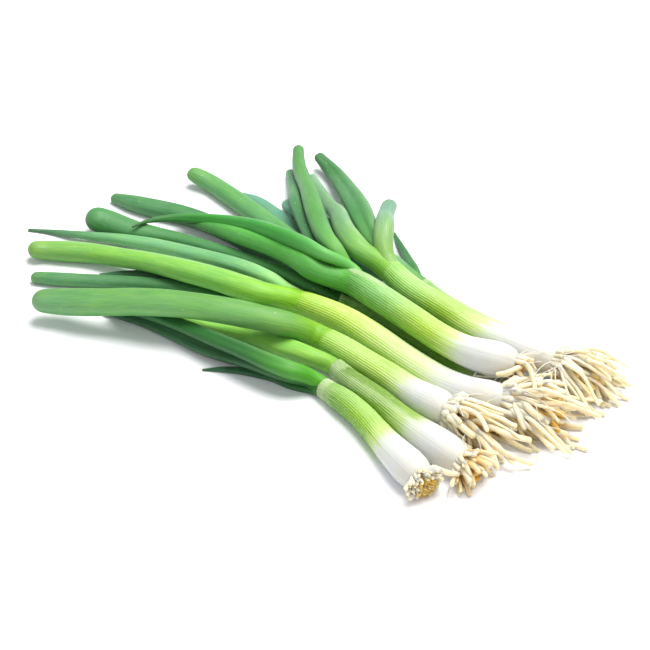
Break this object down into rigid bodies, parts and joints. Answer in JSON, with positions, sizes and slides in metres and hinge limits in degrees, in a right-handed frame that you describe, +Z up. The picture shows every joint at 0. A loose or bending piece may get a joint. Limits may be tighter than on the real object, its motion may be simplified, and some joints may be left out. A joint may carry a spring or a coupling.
{
  "type": "spring onion bunch",
  "caption": "Loose bunch of fresh spring onions lying on a surface: white bulb ends with trimmed roots together at one end, hollow green leaves fanned out at the other.",
  "frame": {"origin": "on the surface that the bunch lies on, under the middle of its bounding box", "axes": "+X along the bunch towards the root ends, -X towards the leaf tips, +Y across the bunch, +Z up from the surface"},
  "size_m": [0.3344, 0.2184, 0.0332],
  "materials": {
    "stem": "fresh plant skin, satin and slightly moist: white at the bulb, yellow-green and then green up the sheathed stem, with fine lengthwise veins and thin whitish sheath skin at its top",
    "leaf": "fresh hollow leaf with a pale waxy bloom, satin, with fine lengthwise veins and a few pale flecks; tips cut or blunt",
    "roots": "dry cream roots, golden brown deep in the tuft, matte"
  },
  "bodies": {
    "root": {"onion_a_stem": "stem", "onion_a_leaf_1": "leaf", "onion_a_leaf_2": "leaf", "onion_a_leaf_3": "leaf", "onion_a_roots": "roots", "onion_b_stem": "stem", "onion_b_leaf_1": "leaf", "onion_b_roots": "roots", "onion_c_stem": "stem", "onion_c_leaf_1": "leaf", "onion_c_leaf_2": "leaf", "onion_c_roots": "roots", "onion_d_stem": "stem", "onion_d_leaf_1": "leaf", "onion_d_leaf_2": "leaf", "onion_d_roots": "roots", "onion_e_stem": "stem", "onion_e_leaf_1": "leaf", "onion_e_leaf_2": "leaf", "onion_e_leaf_3": "leaf", "onion_e_leaf_4": "leaf", "onion_e_roots": "roots", "onion_f_stem": "stem", "onion_f_leaf_1": "leaf", "onion_f_leaf_2": "leaf", "onion_f_leaf_3": "leaf", "onion_f_roots": "roots", "onion_g_stem": "stem", "onion_g_leaf_1": "leaf", "onion_g_leaf_2": "leaf", "onion_g_leaf_3": "leaf", "onion_g_roots": "roots", "onion_h_stem": "stem", "onion_h_leaf_1": "leaf", "onion_h_leaf_2": "leaf", "onion_h_leaf_3": "leaf", "onion_h_leaf_4": "leaf", "onion_h_roots": "roots"}
  },
  "joints": []
}
